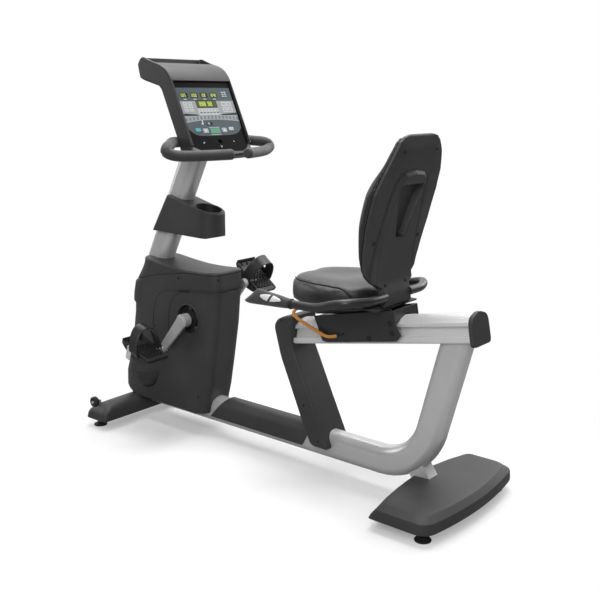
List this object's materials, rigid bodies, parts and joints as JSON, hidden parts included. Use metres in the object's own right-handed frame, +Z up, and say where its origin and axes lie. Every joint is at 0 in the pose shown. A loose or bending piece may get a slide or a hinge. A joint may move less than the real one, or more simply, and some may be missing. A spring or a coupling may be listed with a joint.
{
  "type": "recumbent exercise bike",
  "caption": "Recumbent exercise bike with an enclosed belt drive, strapped pedals, a leaning console mast with handlebar, and a padded seat that slides on an inclined rail.",
  "frame": {"origin": "on the floor, under the middle of the machine's bounding box", "axes": "+X rearwards, from the console to the backrest; +Y to the rider's right; +Z up"},
  "size_m": [1.66, 0.5796, 1.463],
  "materials": {
    "silver_paint": "satin silver powder coat",
    "grey_plastic": "fine-grained dark grey moulding",
    "cap_plastic": "satin dark grey moulding",
    "rail_aluminium": "drawn and anodised",
    "steel_black": "black powder coat",
    "steel_dark": "blackened steel",
    "crank_metal": "satin silver paint",
    "bright_steel": "plated steel",
    "black_rubber": "matt black rubber",
    "pedal_plastic": "coarse-grained black moulding",
    "strap_plastic": "soft dark plastic band",
    "grip_foam": "soft foam grip",
    "upholstery": "black synthetic leather over foam",
    "fascia_black": "gloss black",
    "display_glass": "clear window",
    "display_panel": "slate grey lit panel",
    "lever_paint": "orange coating",
    "key_green": "green key",
    "key_grey": "pale grey key",
    "key_teal": "teal key"
  },
  "bodies": {
    "frame": {"base_tube": "silver_paint", "rear_post": "silver_paint", "mast": "silver_paint", "front_crossbar": "silver_paint", "front_stabiliser_cover": "grey_plastic", "rear_crossbar": "silver_paint", "rear_stabiliser_cover": "grey_plastic", "rear_stub": "silver_paint", "strut_post": "silver_paint", "strut_cover": "grey_plastic", "base_cover": "grey_plastic", "seat_rail": "rail_aluminium", "rail_end_cap": "cap_plastic", "shroud_left": "grey_plastic", "shroud_right": "grey_plastic", "shroud_cap": "cap_plastic", "cover_screws": "steel_dark", "cup_holder": "grey_plastic", "console_housing": "grey_plastic", "console_bezel": "fascia_black", "console_glass": "display_glass", "console_display": "display_panel", "handlebar": "steel_black", "handlebar_grips": "grip_foam", "drive_frame": "steel_black", "crank_bearings": "rail_aluminium", "drive_belt": "black_rubber"},
    "crankset": {"crank_axle": "bright_steel", "drive_pulley": "crank_metal", "crank_arms": "crank_metal", "pedal_spindles": "bright_steel"},
    "pedal_left_body": {"pedal_left": "pedal_plastic", "pedal_strap_left": "strap_plastic"},
    "pedal_right_body": {"pedal_right": "pedal_plastic", "pedal_strap_right": "strap_plastic"},
    "rotor": {"generator_rotor": "crank_metal"},
    "seat_carriage": {"carriage_plates": "steel_black", "seat_frame": "steel_black", "seat_cushion": "upholstery", "back_shell": "grey_plastic", "back_pad": "upholstery", "seat_handlebar": "steel_black", "seat_grips": "grip_foam", "pulse_plates": "bright_steel", "carriage_bolts": "steel_dark"},
    "front_roller_body": {"front_rollers": "black_rubber"},
    "rear_roller_body": {"rear_rollers": "black_rubber"},
    "lever": {"adjust_lever": "lever_paint"},
    "shoe": {"lock_shoe": "steel_dark"},
    "transport_wheel_left_body": {"transport_wheel_left": "black_rubber"},
    "transport_wheel_right_body": {"transport_wheel_right": "black_rubber"},
    "foot_front_left_body": {"foot_front_left": "black_rubber"},
    "foot_front_right_body": {"foot_front_right": "black_rubber"},
    "foot_rear_left_body": {"foot_rear_left": "black_rubber"},
    "foot_rear_right_body": {"foot_rear_right": "black_rubber"},
    "key_start_body": {"key_start": "key_green"},
    "key_up_body": {"key_up": "key_grey"},
    "key_down_body": {"key_down": "key_grey"},
    "key_mode_body": {"key_mode": "key_teal"},
    "key_stop_body": {"key_stop": "key_grey"}
  },
  "joints": [
    {"name": "crank_spin", "type": "hinge", "parent": "frame", "child": "crankset", "pos_m": [-0.415, 0, 0.478], "axis": [0, 1, 0], "continuous": true},
    {"name": "pedal_left_spin", "type": "hinge", "parent": "crankset", "child": "pedal_left_body", "pos_m": [-0.52742, -0.198, 0.35048], "axis": [0, 1, 0], "continuous": true},
    {"name": "pedal_right_spin", "type": "hinge", "parent": "crankset", "child": "pedal_right_body", "pos_m": [-0.30258, 0.198, 0.60552], "axis": [0, 1, 0], "continuous": true},
    {"name": "rotor_spin", "type": "hinge", "parent": "frame", "child": "rotor", "pos_m": [-0.485, 0, 0.262], "axis": [0, 1, 0], "continuous": true},
    {"name": "seat_slide", "type": "slide", "parent": "frame", "child": "seat_carriage", "axis": [0.9843, 0, 0.1762], "range_m": [-0.09, 0.22]},
    {"name": "front_roller_spin", "type": "hinge", "parent": "seat_carriage", "child": "front_roller_body", "pos_m": [0.25152, 0, 0.53221], "axis": [0, 1, 0], "range_deg": [-330, 800]},
    {"name": "rear_roller_spin", "type": "hinge", "parent": "seat_carriage", "child": "rear_roller_body", "pos_m": [0.52025, 0, 0.58032], "axis": [0, 1, 0], "range_deg": [-330, 800]},
    {"name": "lever_lift", "type": "hinge", "parent": "seat_carriage", "child": "lever", "pos_m": [0.32275, 0, 0.54293], "axis": [0, 1, 0], "range_deg": [0, 12], "stiffness_Nm_per_rad": 4},
    {"name": "shoe_lift", "type": "slide", "parent": "seat_carriage", "child": "shoe", "axis": [-0.1762, 0, 0.9843], "range_m": [0, 0.003]},
    {"name": "transport_wheel_left_spin", "type": "hinge", "parent": "frame", "child": "transport_wheel_left_body", "pos_m": [-0.808, -0.252, 0.097], "axis": [0, 1, 0], "continuous": true},
    {"name": "transport_wheel_right_spin", "type": "hinge", "parent": "frame", "child": "transport_wheel_right_body", "pos_m": [-0.808, 0.252, 0.097], "axis": [0, 1, 0], "continuous": true},
    {"name": "foot_front_left_screw", "type": "slide", "parent": "frame", "child": "foot_front_left_body", "axis": [0, 0, -1], "range_m": [0, 0.012]},
    {"name": "foot_front_right_screw", "type": "slide", "parent": "frame", "child": "foot_front_right_body", "axis": [0, 0, -1], "range_m": [0, 0.012]},
    {"name": "foot_rear_left_screw", "type": "slide", "parent": "frame", "child": "foot_rear_left_body", "axis": [0, 0, -1], "range_m": [0, 0.012]},
    {"name": "foot_rear_right_screw", "type": "slide", "parent": "frame", "child": "foot_rear_right_body", "axis": [0, 0, -1], "range_m": [0, 0.012]},
    {"name": "key_start_press", "type": "slide", "parent": "frame", "child": "key_start_body", "axis": [-0.915, 0, -0.4035], "range_m": [0, 0.001], "stiffness_N_per_m": 800},
    {"name": "key_up_press", "type": "slide", "parent": "frame", "child": "key_up_body", "axis": [-0.915, 0, -0.4035], "range_m": [0, 0.001], "stiffness_N_per_m": 800},
    {"name": "key_down_press", "type": "slide", "parent": "frame", "child": "key_down_body", "axis": [-0.915, 0, -0.4035], "range_m": [0, 0.001], "stiffness_N_per_m": 800},
    {"name": "key_mode_press", "type": "slide", "parent": "frame", "child": "key_mode_body", "axis": [-0.915, 0, -0.4035], "range_m": [0, 0.001], "stiffness_N_per_m": 800},
    {"name": "key_stop_press", "type": "slide", "parent": "frame", "child": "key_stop_body", "axis": [-0.915, 0, -0.4035], "range_m": [0, 0.001], "stiffness_N_per_m": 800}
  ],
  "couplings": [
    {"joint": "rotor_spin", "follows": "crank_spin", "ratio": 4.7727},
    {"joint": "front_roller_spin", "follows": "seat_slide", "rad_per_m": 62.5},
    {"joint": "rear_roller_spin", "follows": "seat_slide", "rad_per_m": 62.5},
    {"joint": "shoe_lift", "follows": "lever_lift", "m_per_rad": 0.014324}
  ]
}
